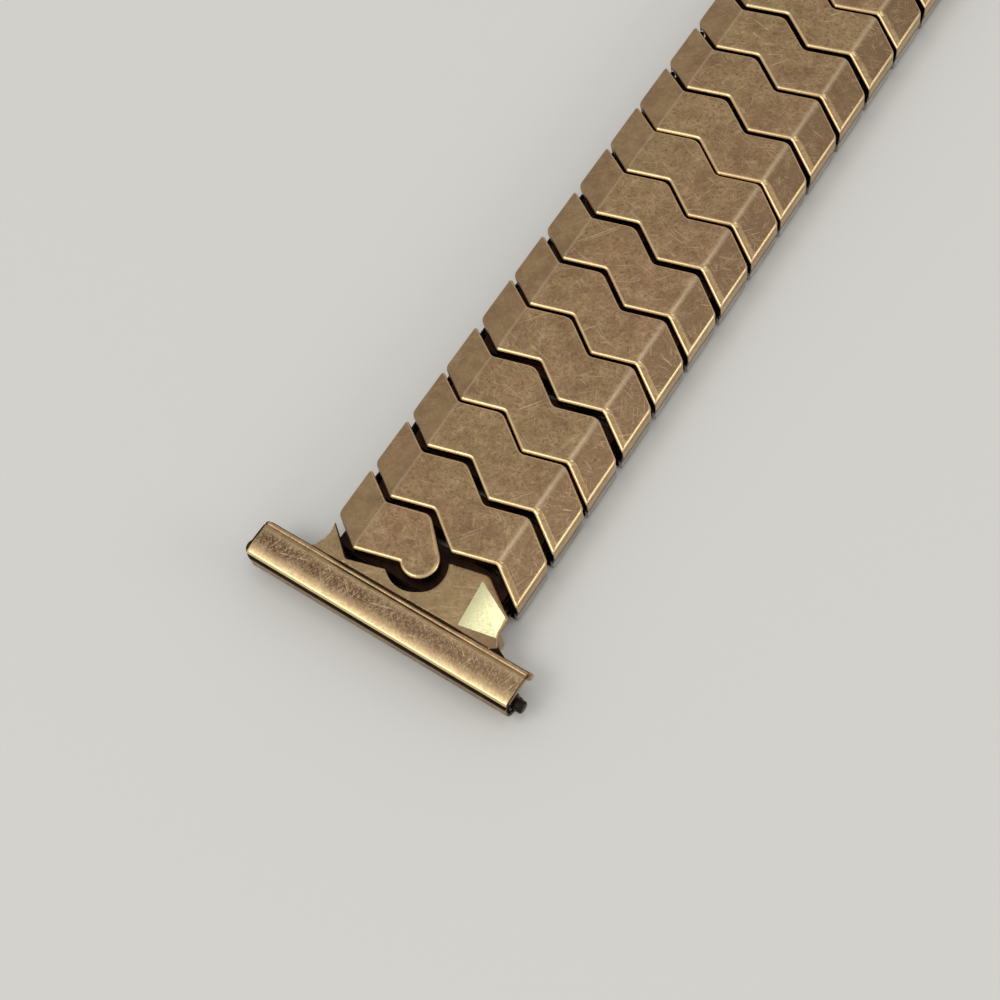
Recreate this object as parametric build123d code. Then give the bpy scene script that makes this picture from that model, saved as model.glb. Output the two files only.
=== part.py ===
# Expansion watch band: an upper row of zigzag shells on steel sleeves, a lower row of steel sleeves
# set half a pitch back, side staples that join the rows, leaf springs in the sleeves, and at each
# end a shaped end plate with a lug sleeve and a spring bar.
# Millimetres. X runs across the band, Y along it, Z up from the surface that it lies on.
# The origin is the bottom centre of the whole band.
from build123d import *
import math
import os

os.makedirs("parts", exist_ok=True)

# Driving dimensions
band_width = 12.7
link_count = 24
shell_length = 3.55
rest_gap = 0.29
lug_width = 19.0
total_height = 2.85
overrun = 5.0
tiny = 0.01

# Resting gaps after each upper link, as shares of rest_gap. The first ten follow the photograph.
gap_shares = (
    1.2, 1.4, 0.5, 1.65, 0.7, 1.05, 1.3, 0.65, 0.45, 1.0, 0.9, 1.2,
    0.7, 1.1, 1.1, 1.3, 0.9, 1.0, 0.8, 1.2, 0.9, 1.05, 1.0,
)

# Zigzag of a shell's long edges: places across the width as shares of it, and swings along the band
zigzag_shares = (0.0, 0.183, 0.404, 0.596, 0.817, 1.0)
corner_swing = 1.82
ridge_swing = 0.20
middle_swing = 0.90
far_corner_cut = 0.1
zigzag_swings = (corner_swing, ridge_swing, middle_swing, -middle_swing, -ridge_swing, -corner_swing)

# Shell: a cap with two sloping side facets and side walls that hang over the staples
facet_drop = 0.5
cap_thickness = 0.27
shell_wall = 0.25
shell_bevel = 0.13
side_wall_bottom = 1.62

# Sleeves
sleeve_wall = 0.13
upper_sleeve_bottom = 0.98
upper_sleeve_height = 0.84
upper_sleeve_setback = 0.2
lower_sleeve_height = 0.82
lower_sleeve_setback = 0.35
sleeve_corner = 0.12
sleeve_inset = 0.85
lower_flange_height = 1.38
lower_flange_thickness = 0.22
lower_flange_inset = 0.1
lower_flange_corner = 0.3
lower_flange_bend = 0.28
saddle_setback = 0.1
saddle_clearance = 0.02

# Staples: two legs and a bridge on each side of the band
leg_width = 0.44
leg_thickness = 0.22
leg_reach = 2.0
leg_height_in_sleeve = 0.32
bridge_thickness = 0.3
bridge_clearance = 0.05
pivot_leg_inset = 0.895
lower_leg_inset = 0.5
slide_leg_start = -0.10

# Leaf springs: one bowed strip in each sleeve
leaf_thickness = 0.06
leaf_bow = 0.09
leaf_width = 2.4
leaf_inset = 0.5
leaf_height_in_sleeve = 0.52

# Lobed link beside each end plate
lobe_x = -0.12
lobe_reach = 1.675
lobe_radius = 1.22

# End plate. The seam behind it is set back from the lobed link, and the rest is placed from the seam.
plate_gap = 0.70
pocket_clearance = 0.62
pocket_setback = 0.3
seam_setback = 0.645
left_shoulder_flare = 0.35
right_shoulder_flare = 1.15
right_shoulder_reach = 1.12
left_wall_reach = 0.52
left_tip_inset = 0.15
left_tip_reach = 0.12
left_shoulder_bulge = 0.32
right_shoulder_bulge = 0.2
plate_wall_bottom = 0.15
web_front_reach = 0.42
web_back_setback = 0.2
anchor_front_reach = 2.1
anchor_back_setback = 0.18

# Lug sleeve, placed from the seam and a little off the middle of the band
sleeve_shift = -0.3
cover_depth = 2.73
cover_back_setback = 0.36
cover_bottom = 0.35
cover_top = 2.48
cover_crown = 0.2
cover_wall = 0.25
cover_front_radius = 0.3
cover_top_radius = 0.4
cover_opening_setback = 1.18
strip_top = 2.55
strip_thickness = 0.14
channel_gap = 0.04
channel_thickness = 0.18
channel_depth = 2.28
channel_setback = 0.3
end_hole_clearance = 0.1

# Spring bar
bar_setback = 1.83
bar_axis_z = 1.22
barrel_radius = 0.6
barrel_wall = 0.14
barrel_setback = 1.65
barrel_end_wall = 0.2
plunger_radius = 0.4
plunger_collar_radius = 0.58
plunger_collar_length = 0.6
plunger_collar_setback = 0.65
tip_overhang = 0.6
plunger_flange_radius = 0.45
plunger_flange_length = 0.6
plunger_clearance = 0.03
tip_chamfer = 0.08

# Heights and places that follow from the sizes above
half_width = band_width / 2
sleeve_half_width = half_width - sleeve_inset
leaf_half_length = sleeve_half_width - leaf_inset
barrel_half_length = lug_width / 2 - barrel_setback
plunger_collar_x = lug_width / 2 - plunger_collar_setback
plunger_reach = lug_width / 2 + tip_overhang
facet_bottom = total_height - facet_drop
cap_bottom = facet_bottom - cap_thickness
upper_sleeve_top = upper_sleeve_bottom + upper_sleeve_height
upper_sleeve_length = shell_length - upper_sleeve_setback
lower_sleeve_length = shell_length - lower_sleeve_setback
pivot_leg_setback = upper_sleeve_length / 2 - pivot_leg_inset
lower_leg_offset = lower_sleeve_length / 2 - lower_leg_inset
ridge_x = zigzag_shares[-2] * band_width - half_width
upper_leg_z = upper_sleeve_bottom + leg_height_in_sleeve
lower_leg_z = leg_height_in_sleeve
pitches = [shell_length + rest_gap * gap_shares[i % len(gap_shares)] for i in range(link_count - 1)]
lobe_y = lobe_reach - shell_length / 2
seam_y = -shell_length / 2 - seam_setback
right_shoulder_y = seam_y + right_shoulder_reach
left_wall_y = seam_y + left_wall_reach
web_front_y = seam_y + web_front_reach
web_back_y = seam_y - web_back_setback
anchor_front_y = seam_y + anchor_front_reach
anchor_back_y = seam_y - anchor_back_setback
cover_front_y = seam_y - cover_depth
cover_back_y = seam_y - cover_back_setback
cover_opening_y = seam_y - cover_opening_setback
channel_front_y = seam_y - channel_depth
bar_axis_y = seam_y - bar_setback
end_length = -cover_front_y
half_length = (sum(pitches) + end_length + end_length) / 2
upper_y = [end_length - half_length]
for pitch in pitches:
    upper_y.append(upper_y[-1] + pitch)
lower_y = [(upper_y[i] + upper_y[i + 1]) / 2 for i in range(link_count - 1)]
mean_half_pitch = sum(pitches) / len(pitches) / 2


def box(x0, x1, y0, y1, z0, z1):
    """A box between two corners."""
    size = Box(x1 - x0, y1 - y0, z1 - z0)
    return Pos((x0 + x1) / 2, (y0 + y1) / 2, (z0 + z1) / 2) * size


def prism_x(face_points, x0, x1):
    """A straight bar along X whose section is given by (y, z) points."""
    section = Plane.YZ * Polygon(*face_points, align=None)
    return Pos(x0, 0, 0) * extrude(section, amount=x1 - x0, dir=(1, 0, 0))


def zigzag_edge(y_shift, corner_cut=0.0):
    """The six corners of a zigzag edge, from the left side of the band to the right."""
    cuts = [corner_cut, 0.0, 0.0, 0.0, 0.0, corner_cut]
    return [
        (share * band_width - half_width, y_shift + swing - cut)
        for share, swing, cut in zip(zigzag_shares, zigzag_swings, cuts)
    ]


def place_on(edge, x):
    """Where an edge made of straight runs lies along the band, at any place across it."""
    for (x0, y0), (x1, y1) in zip(edge, edge[1:]):
        if x <= x1:
            return y0 + (x - x0) / (x1 - x0) * (y1 - y0)
    return y1


def surface_z(x):
    """Height of the three facets across the band."""
    return total_height - facet_drop * max(0.0, abs(x) - ridge_x) / (half_width - ridge_x)


def shell_ring(x, top):
    """Section of a shell's top at one place across the band, beveled along its two long edges."""
    y0 = place_on(near_edge, x)
    y1 = place_on(far_edge, x)
    low = side_wall_bottom - overrun
    return [
        (x, y0, low), (x, y1, low), (x, y1, top - shell_bevel), (x, y1 - shell_bevel, top),
        (x, y0 + shell_bevel, top), (x, y0, top - shell_bevel),
    ]


def skin(rings):
    """A solid with flat faces between one ring of corners and the next."""
    outlines = [rings[0], rings[-1]]
    for ring, after in zip(rings, rings[1:]):
        for i in range(len(ring)):
            outlines.append([ring[i - 1], ring[i], after[i], after[i - 1]])
    return Solid(Shell([make_face(Polyline(*outline, close=True)) for outline in outlines]))


def shell_top(last_corner):
    """The beveled top of a shell, from the left edge of the band to one of the zigzag's corners."""
    left = shell_bevel - half_width
    low_edge = surface_z(half_width) - shell_bevel
    rings = [shell_ring(-half_width, low_edge), shell_ring(left, surface_z(left))]
    corners = near_edge[1:last_corner + 1]
    if last_corner < len(near_edge) - 1:
        return skin(rings + [shell_ring(x, surface_z(x)) for x, _ in corners])
    rings += [shell_ring(x, surface_z(x)) for x, _ in corners[:-1]]
    rings += [shell_ring(-left, surface_z(left)), shell_ring(half_width, low_edge)]
    return skin(rings)


def finish_shell(top):
    """Cut a shell's underside, leaving its side walls and the saddle that sits on the sleeve."""
    reach = shell_length + overrun
    wall_x = half_width - shell_wall
    top -= box(-reach, reach, -reach, reach, side_wall_bottom - overrun - overrun, side_wall_bottom)
    saddle_x = sleeve_half_width - saddle_setback
    saddle_y = upper_sleeve_length / 2 - saddle_setback
    seat = upper_sleeve_top + saddle_clearance
    hollow = box(-wall_x, wall_x, -reach, reach, side_wall_bottom - overrun, cap_bottom)
    hollow -= box(-saddle_x, saddle_x, -saddle_y, saddle_y, seat, cap_bottom)
    return top - hollow


def lobed_shell_top():
    """Left half of a shell, joined to a flat nose that ends in the round lobe."""
    left = shell_top(2)
    lower = near_edge
    upper = far_edge
    turn = math.atan2(upper[2][1] - lobe_y, upper[2][0] - lobe_x)
    turn -= math.acos(lobe_radius / math.dist(upper[2], (lobe_x, lobe_y)))
    tangent = (lobe_x + lobe_radius * math.cos(turn), lobe_y + lobe_radius * math.sin(turn))
    nose = Polygon(lower[2], (lobe_x, lobe_y), tangent, upper[2], align=None)
    nose += Pos(lobe_x, lobe_y) * Circle(lobe_radius)
    nose -= Pos(upper[2][0] - overrun / 2, 0) * Rectangle(overrun, overrun * 2)
    low = side_wall_bottom - overrun
    solid = Pos(0, 0, low) * extrude(nose, amount=total_height - low)
    rim = [e for e in solid.faces().sort_by(Axis.Z)[-1].edges() if abs((e @ 0.5).X - upper[2][0]) > tiny]
    return left + chamfer(rim, shell_bevel)


def tube(length, bottom, height):
    """A flat steel sleeve, open at both sides of the band."""
    outer = [
        (-length / 2 + sleeve_corner, bottom), (length / 2 - sleeve_corner, bottom),
        (length / 2, bottom + sleeve_corner), (length / 2, bottom + height - sleeve_corner),
        (length / 2 - sleeve_corner, bottom + height), (sleeve_corner - length / 2, bottom + height),
        (-length / 2, bottom + height - sleeve_corner), (-length / 2, bottom + sleeve_corner),
    ]
    bar = prism_x(outer, -sleeve_half_width, sleeve_half_width)
    inner_y = length / 2 - sleeve_wall
    reach = sleeve_half_width + overrun
    return bar - box(-reach, reach, -inner_y, inner_y, bottom + sleeve_wall, bottom + height - sleeve_wall)


def leaf_spring(sleeve_bottom):
    """A bowed strip that presses the staple legs against the sleeve's floor."""
    low = sleeve_bottom + leaf_height_in_sleeve
    section = Polygon(
        (-leaf_half_length, low), (0, low + leaf_bow), (leaf_half_length, low),
        (leaf_half_length, low + leaf_thickness), (0, low + leaf_bow + leaf_thickness),
        (-leaf_half_length, low + leaf_thickness), align=None,
    )
    return extrude(Plane.XZ * section, amount=leaf_width / 2, both=True)


def staple(side, low_y, high_y):
    """A U-shaped staple: one leg in a lower sleeve, one in an upper sleeve, joined by a bridge."""
    half = leg_width / 2
    thick = leg_thickness / 2
    inner = sleeve_half_width + bridge_clearance
    outer = inner + bridge_thickness
    tip = sleeve_half_width - leg_reach
    bridge = prism_x([
        (low_y - half, lower_leg_z - thick), (low_y + half, lower_leg_z - thick),
        (high_y + half, upper_leg_z + thick), (high_y - half, upper_leg_z + thick),
    ], inner, outer)
    legs = [
        box(tip, inner, y - half, y + half, z - thick, z + thick)
        for y, z in ((low_y, lower_leg_z), (high_y, upper_leg_z))
    ]
    whole = bridge + legs
    return whole if side > 0 else mirror(whole, about=Plane.YZ)


def lower_channel(y0, y1):
    """Floor strips and upright flanges that carry a lower sleeve out to the band's edges."""
    outer = half_width - lower_flange_inset
    inner = outer - lower_flange_thickness
    floor_bend = lower_flange_bend - sleeve_wall
    section = Plane.XZ * Polygon(
        (sleeve_half_width, 0), (outer - lower_flange_bend, 0), (outer, lower_flange_bend),
        (outer, lower_flange_height), (inner, lower_flange_height), (inner, sleeve_wall + floor_bend),
        (inner - floor_bend, sleeve_wall), (sleeve_half_width, sleeve_wall), align=None,
    )
    right = Pos(0, y1, 0) * extrude(section, amount=y1 - y0, dir=(0, -1, 0))
    corner = lower_flange_corner
    top = lower_flange_height
    for y, way in ((y0, 1), (y1, -1)):
        tip = [(y, top - corner), (y, top), (y + way * corner, top)]
        right -= prism_x(tip, inner - overrun, outer + overrun)
    return right + mirror(right, about=Plane.YZ)


def upper_link(cover, y):
    """Shell, sleeve and leaf spring of one upper link."""
    return [Pos(0, y, 0) * piece for piece in (cover, upper_sleeve, upper_spring)]


def lower_link(index):
    """Sleeve, leaf spring and four staples of the lower link between two upper links."""
    y = lower_y[index]
    pieces = [Pos(0, y, 0) * lower_sleeve, Pos(0, y, 0) * lower_spring]
    for side in (-1, 1):
        pieces.append(staple(side, y - lower_leg_offset, upper_y[index] + slide_leg_start))
        pieces.append(staple(side, y + lower_leg_offset, upper_y[index + 1] - pivot_leg_setback))
    return pieces


def place_end(piece, far):
    """Put a piece made about the lobed link's centre at the near end, or turned at the far end."""
    if far:
        return Pos(0, upper_y[-1], 0) * (Rot(0, 0, 180) * piece)
    return Pos(0, upper_y[0], 0) * piece


def plate_outline():
    """Plan of the end plate's visible face, about the lobed link's centre."""
    first = zigzag_edge(-shell_length / 2 - plate_gap)
    second = zigzag_edge(shell_length / 2 + rest_gap * gap_shares[0] - plate_gap)
    left_tip = (first[0][0] + left_tip_inset, first[0][1] + left_tip_reach)
    left_foot = (-half_width - left_shoulder_flare, seam_y)
    right_foot = (half_width + right_shoulder_flare, seam_y)
    right_top = (half_width, right_shoulder_y)
    left_middle = ((left_tip[0] + left_foot[0]) / 2 + left_shoulder_bulge, (left_tip[1] + seam_y) / 2)
    right_middle = ((right_top[0] + right_foot[0]) / 2 - right_shoulder_bulge,
                    (right_shoulder_y + seam_y) / 2 - right_shoulder_bulge)
    edge = [
        ThreePointArc(left_foot, left_middle, left_tip),
        Polyline(left_tip, first[1], first[2], second[3], second[4], second[5], right_top),
        ThreePointArc(right_top, right_middle, right_foot),
        Line(right_foot, left_foot),
    ]
    face = make_face(edge)
    return face - Pos(lobe_x, lobe_y - pocket_setback) * Circle(lobe_radius + pocket_clearance)


def end_plate(far):
    """End plate: faceted face round the lobe, side walls, web on the anchor and bar channel."""
    prism = extrude(plate_outline(), amount=total_height + overrun, dir=(0, 0, 1))
    left = -half_width - left_shoulder_flare
    right = half_width + right_shoulder_flare
    wide = Plane.XZ * Polygon(
        (left, cap_bottom), (left, facet_bottom), (-half_width, facet_bottom),
        (-ridge_x, total_height), (ridge_x, total_height), (half_width, facet_bottom),
        (right, facet_bottom), (right, cap_bottom), align=None,
    )
    plate = extrude(wide, amount=overrun, both=True) & prism
    wall_x = half_width - shell_wall
    for x, front_y in ((-half_width, left_wall_y), (wall_x, right_shoulder_y)):
        plate += box(x, x + shell_wall, web_back_y, front_y, plate_wall_bottom, cap_bottom)
    plate += box(-wall_x, wall_x, web_back_y, web_front_y, lower_sleeve_height, cap_bottom)
    channel_top = cover_top - cover_wall - channel_gap
    channel_x0 = sleeve_shift + cover_wall + channel_setback - lug_width / 2
    channel_x1 = sleeve_shift + lug_width / 2
    plate += box(channel_x0, channel_x1, channel_front_y, web_front_y - shell_wall,
                 channel_top - channel_thickness, channel_top)
    return [place_end(plate, far)]


def anchor_link(far):
    """Shortened lower sleeve under the end plate, with its leaf spring and its pair of staples."""
    length = anchor_front_y - anchor_back_y
    middle = (anchor_front_y + anchor_back_y) / 2
    pieces = [place_end(Pos(0, middle, 0) * tube(length, 0, lower_sleeve_height), far)]
    low = mean_half_pitch - lower_leg_offset
    for side in (-1, 1):
        if far:
            y = upper_y[-1]
            pieces.append(staple(side, y + low, y + slide_leg_start))
        else:
            y = upper_y[0]
            pieces.append(staple(side, y - low, y - pivot_leg_setback))
    return pieces


def cover_region(inset):
    """Section of the lug sleeve's outside, or of its inside when inset by the wall."""
    y0 = cover_front_y + inset
    y1 = cover_back_y - inset
    z0 = cover_bottom + inset
    z1 = cover_top - inset
    edge = [
        Polyline((y0, z1), (y0, z0), (y1, z0), (y1, z1)),
        ThreePointArc((y1, z1), ((y0 + y1) / 2, z1 + cover_crown), (y0, z1)),
    ]
    face = make_face(edge)
    for upper, radius in ((True, cover_top_radius), (False, cover_front_radius)):
        front = [v for v in face.vertices() if v.X < (y0 + y1) / 2 and (v.Y > (z0 + z1) / 2) == upper]
        face = fillet(front, radius / 2 if inset else radius)
    return face


def lug_sleeve(far):
    """Gold cover folded round the spring bar: top, front wall, bottom lip and one closed end."""
    x0 = sleeve_shift - lug_width / 2
    reach = lug_width
    outer = Pos(x0, 0, 0) * extrude(Plane.YZ * cover_region(0), amount=reach, dir=(1, 0, 0))
    inner = extrude(Plane.YZ * cover_region(cover_wall), amount=reach, dir=(1, 0, 0))
    inner = Pos(x0 + cover_wall, 0, 0) * inner
    cover = outer - inner
    cover -= box(x0 + cover_wall, x0 + reach + overrun, cover_opening_y, overrun, 0, cover_top - cover_wall)
    strip_back = cover_back_y - shell_wall
    cover += box(x0, x0 + reach, strip_back, seam_y, strip_top - strip_thickness, strip_top)
    hole = Cylinder(plunger_collar_radius + end_hole_clearance, cover_wall + cover_wall, rotation=(0, 90, 0))
    cover -= Pos(x0 + cover_wall / 2, bar_axis_y, bar_axis_z) * hole
    return [place_end(cover, far)]


def rod_x(radius, x0, x1):
    """A round rod along X on the spring bar's axis."""
    rod = Cylinder(radius, x1 - x0, rotation=(0, 90, 0))
    return Pos(sleeve_shift + (x0 + x1) / 2, bar_axis_y, bar_axis_z) * rod


def bar_barrel(far):
    """Thin tube of the spring bar, turned in at both ends to hold the plungers."""
    bore = barrel_radius - barrel_wall
    barrel = rod_x(barrel_radius, -barrel_half_length, barrel_half_length)
    barrel -= rod_x(bore, barrel_end_wall - barrel_half_length, barrel_half_length - barrel_end_wall)
    reach = barrel_half_length + overrun
    barrel -= rod_x(plunger_radius + plunger_clearance, -reach, reach)
    return [place_end(barrel, far)]


def bar_tip(far, side):
    """Sprung plunger of the spring bar: inner flange, shank, collar for the tool and tip."""
    inner = barrel_half_length - barrel_end_wall - plunger_clearance
    tip = rod_x(plunger_radius, inner - plunger_flange_length, plunger_reach)
    ends = tip.edges().filter_by(GeomType.CIRCLE).sort_by(Axis.X)[-1]
    tip = chamfer(ends, tip_chamfer)
    tip += rod_x(plunger_flange_radius, inner - plunger_flange_length, inner)
    tip += rod_x(plunger_collar_radius, plunger_collar_x, plunger_collar_x + plunger_collar_length)
    if side < 0:
        tip = mirror(tip, about=Plane.YZ.offset(sleeve_shift))
    return [place_end(tip, far)]


def write(name, pieces):
    """Write the solids of one node to its STEP file."""
    solids = [solid for piece in pieces for solid in piece.solids()]
    whole = solids[0] if len(solids) == 1 else Compound(solids)
    whole.label = name
    export_step(whole, "parts/" + name + ".step")


near_edge = zigzag_edge(-shell_length / 2)
far_edge = zigzag_edge(shell_length / 2, far_corner_cut)
full_shell = finish_shell(shell_top(len(near_edge) - 1))
lobed_shell = finish_shell(lobed_shell_top())
upper_sleeve = tube(upper_sleeve_length, upper_sleeve_bottom, upper_sleeve_height)
upper_spring = leaf_spring(upper_sleeve_bottom)
lower_sleeve = tube(lower_sleeve_length, 0, lower_sleeve_height)
lower_sleeve += lower_channel(-lower_sleeve_length / 2, lower_sleeve_length / 2)
lower_spring = leaf_spring(0)

write("upper_link_01", upper_link(lobed_shell, upper_y[0]))
for number in range(2, link_count):
    write(f"upper_link_{number:02d}", upper_link(full_shell, upper_y[number - 1]))
write(f"upper_link_{link_count:02d}", upper_link(Rot(0, 0, 180) * lobed_shell, upper_y[-1]))
for number in range(1, link_count):
    write(f"lower_link_{number:02d}", lower_link(number - 1))
for end_name, at_far_end in (("near", False), ("far", True)):
    write("end_plate_" + end_name, end_plate(at_far_end))
    write("anchor_link_" + end_name, anchor_link(at_far_end))
    write("lug_sleeve_" + end_name, lug_sleeve(at_far_end))
    write("spring_bar_barrel_" + end_name, bar_barrel(at_far_end))
    write("spring_bar_tip_left_" + end_name, bar_tip(at_far_end, -1))
    write("spring_bar_tip_right_" + end_name, bar_tip(at_far_end, 1))
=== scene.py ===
# Expansion watch band: zigzag gold-filled shells over two rows of steel sleeves, with an end plate,
# a lug sleeve and a spring bar at each end.
import bmesh
import bpy
import math
from mathutils import Matrix, Vector


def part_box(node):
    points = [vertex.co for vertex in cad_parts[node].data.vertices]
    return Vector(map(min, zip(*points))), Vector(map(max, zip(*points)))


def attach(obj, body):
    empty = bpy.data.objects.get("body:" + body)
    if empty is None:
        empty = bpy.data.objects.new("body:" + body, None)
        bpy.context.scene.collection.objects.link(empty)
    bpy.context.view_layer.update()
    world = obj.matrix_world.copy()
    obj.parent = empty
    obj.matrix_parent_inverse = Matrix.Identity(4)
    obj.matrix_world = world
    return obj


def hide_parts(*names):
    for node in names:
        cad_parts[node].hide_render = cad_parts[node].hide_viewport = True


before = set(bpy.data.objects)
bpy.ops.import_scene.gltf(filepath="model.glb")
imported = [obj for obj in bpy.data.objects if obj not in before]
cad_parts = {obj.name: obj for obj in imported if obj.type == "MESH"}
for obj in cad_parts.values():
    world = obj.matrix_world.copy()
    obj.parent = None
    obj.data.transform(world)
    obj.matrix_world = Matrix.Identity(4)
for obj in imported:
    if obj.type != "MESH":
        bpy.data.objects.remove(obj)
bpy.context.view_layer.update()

# Lengths are in millimetres up to the place where a mesh is made. X runs across the band, Y along
# it and Z up. A link is drawn round its own middle, and the near end piece round the middle of the
# lobed link beside it; the far end piece is the near one turned half round.
MM = 0.001

# Places of the materials in SLOTS
(WORN_GOLD_FACET_SHADE, POLISHED_RIM_HIGHLIGHT, GAP_SHADE, SHADED_SLEEVE_STEEL, FLANGE_STEEL, FACET_HIGHLIGHT, SIDE_GOLD, OLIVE_GOLD,
 MOTTLED_GOLD, FRONT_EDGE_HIGHLIGHT, FAR_RIM_HIGHLIGHT, SHADED_FRONT_WALL, SHADED_BAR_STEEL, SHADED_RIM) = range(14)

# Sizes of the band. Nearly all are those of the solids. The rims are wider, the shells' side walls
# are thinner and reach lower, the seam behind the end plate lies further forward, the front of the
# lug sleeve is rounded round the bar, and the left flanges sit further along the band.
link_count = 24
half_width = 6.35
shell_length = 3.55
first_gap = 0.29 * 1.2
total_height = 2.85
zigzag_xs = (-6.35, -4.026, -1.219, 1.219, 4.026, 6.35)
zigzag_swings = (1.82, 0.20, 0.90, -0.90, -0.20, -1.82)
far_corner_cut = 0.1
seam_y = -2.63

# How far the lobed links are from the band's middle, for the lug sleeve's finish
lobed_link_place = 44.167

# Shells: the two side facets fall from a ridge
facet_drop = 0.5
ridge_x = 4.026
ridge_round = 0.14
cap_bottom = 2.08
shell_wall = 0.09
side_wall_bottom = 1.27
side_wall_setback = 0.12
side_wall_round = 0.03
side_wall_lap = 0.1
shell_rim = (0.27, 0.2)
rim_steps = 4

# The rim of a shell takes lit and shaded copies of one gold by where it faces: a painted highlight
# on its near rim and a fainter one where it faces along the band, and painted shade where it faces
# up or to the left
facing_far = 0.1
facing_up = 0.972
facing_left = -0.62

# Sleeves: bottom, top and length along the band
upper_sleeve = (0.98, 1.82, 3.35)
lower_sleeve = (0.0, 0.82, 3.2)
anchor_sleeve = (0.0, 0.82, 2.28)
anchor_setback = 1.46
sleeve_half_width = 5.5
sleeve_wall = 0.13
sleeve_corner = 0.14
sleeve_inner_corner = 0.04
saddle_setback = 0.1
saddle_lap = 0.02

# Flanges of the lower sleeves
flange_outer = 6.25
flange_inner = 6.03
flange_top = 1.38
flange_bend = 0.28
flange_edge = 0.04
flange_lap = 0.02
flange_skin = 0.015
left_flange_corner = 0.16
left_flange_shift = 0.5
left_flange_clearance = 0.05
right_flange_corner = 0.3

# Leaf springs
leaf_inset = 0.5
leaf_height = 0.55
leaf_bow = 0.09
leaf_section = (2.4, 0.06)
leaf_steps = 14

# Staples, with the places of their legs along the band: the lower legs from the middle of the
# lower sleeve, and the upper ones from the middles of the links before it and after it
staple_heights = (0.32, 1.30)
staple_leg_reach = 2.0
staple_overhang = 0.22
staple_bend = 0.24
staple_section = (0.44, 0.22)
lower_leg = 1.1
slide_leg = -0.10
pivot_leg = -0.78

# Lobe of the first link and its pocket in the end plate: centre and radius
lobe = (-0.12, -0.10, 1.22)
pocket = (-0.12, -0.40, 1.84)
plate_gap = 0.70
plate_rim = (0.42, 0.3)
plate_rim_steps = 6

# Hollow of the end plate's right shoulder: centre and radius
shoulder_hollow = ((7.54, -1.23), 1.19)

# End plate's side walls and web, and the floor of its bar channel
plate_wall = 0.25
plate_back = -2.62
plate_wall_z = (0.15, 2.12)
web_end = -2.0
web_z = (0.84, 2.1)
channel_bottom = 2.02
channel_top = 2.18
channel_rim = (0.06, 0.06)

# Flat facet of the end plate: its long edge from head to foot, the line along its foot, how it
# falls, and how the band below it falls
facet_head = (3.92, 0.51)
facet_foot = (4.17, -2.37)
facet_rise = 0.262
facet_slope = 0.215
foot_slope = 0.45
facet_least_area = 1.0

# Lug sleeve and spring bar, which sit a little to the left of the band's middle
sleeve_x = (-9.8, 9.2)
sleeve_front = -5.15
sleeve_back = -2.57
end_round = 0.5
bar_axis = (-4.25, 1.22)
bar_shift = -0.3
bar_steps = 36

# An edge that turns by more than this stays sharp
sharp_degrees = 50

# A slab's underside waits at this height until its top has been shaped
UNDER = -100.0


def surface_z(x):
    """Height of the three facets across the band, with the two ridges eased."""
    slope = facet_drop / (half_width - ridge_x)
    over = min(abs(x), half_width) - ridge_x
    if over <= -ridge_round:
        return total_height
    if over >= ridge_round:
        return total_height - slope * over
    share = (over + ridge_round) / (2 * ridge_round)
    return total_height - slope * ridge_round * share * share


def arc(centre, radius, start, end, steps):
    """Points of an arc, angles in degrees."""
    turns = [math.radians(start + (end - start) * n / steps) for n in range(steps + 1)]
    return [(centre[0] + radius * math.cos(a), centre[1] + radius * math.sin(a)) for a in turns]


def quarter_round(radius, steps=3):
    """A rounded edge in steps: how far it is still drawn in, and how far along it is."""
    turns = [math.radians(90 * n / steps) for n in range(steps + 1)]
    return [(radius * (1 - math.sin(a)), radius * (1 - math.cos(a))) for a in turns]


def outline_ring(corners, inset, steps=5):
    """A closed outline moved inwards. A corner is (x, y, cut, weight): the cut is how far from the
    corner its curve starts, and the weight is the share of the inset that it takes, or a pair of
    shares for the edges before and after it."""
    least_cosine, least_cut, most_of_edge = 0.4, 0.35, 0.46
    out = []
    count = len(corners)
    for i in range(count):
        x, y, cut, weight = corners[i]
        here = Vector((x, y))
        to_last = Vector(corners[i - 1][:2]) - here
        to_next = Vector(corners[(i + 1) % count][:2]) - here
        before = -to_last.normalized()
        after = to_next.normalized()
        cross = before.x * after.y - before.y * after.x
        normal = Vector((-before.y - after.y, before.x + after.x)).normalized()
        cosine = max(normal.dot(Vector((-before.y, before.x))), least_cosine)
        tangent = math.sqrt(1 - min(cosine, 1) ** 2) / cosine
        if isinstance(weight, tuple):
            a, b = inset * weight[0], inset * weight[1]
            here = here + Vector(((a * after.x - b * before.x) / cross,
                                  (a * after.y - b * before.y) / cross))
            weight = sum(weight) / 2
        else:
            here = here + normal * inset * weight / cosine
        if cut == 0:
            out.append((here.x, here.y))
            continue
        grown = cut + inset * weight * tangent * (-1 if cross > 0 else 1)
        grown = max(grown, cut * least_cut)
        start = here - before * min(grown, to_last.length * most_of_edge)
        end = here + after * min(grown, to_next.length * most_of_edge)
        for n in range(steps + 1):
            t = n / steps
            p = start * (1 - t) ** 2 + here * 2 * t * (1 - t) + end * t * t
            out.append((p.x, p.y))
    return out


def rounded(points, cut, steps=4):
    """A closed outline with all of its corners cut alike."""
    return outline_ring([(x, y, cut, 1) for x, y in points], 0, steps)


def rectangle(x, y, cut):
    """Corners of a rectangle for outline_ring, from its spans."""
    return [(x[0], y[0], cut, 1), (x[1], y[0], cut, 1), (x[1], y[1], cut, 1), (x[0], y[1], cut, 1)]


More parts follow.
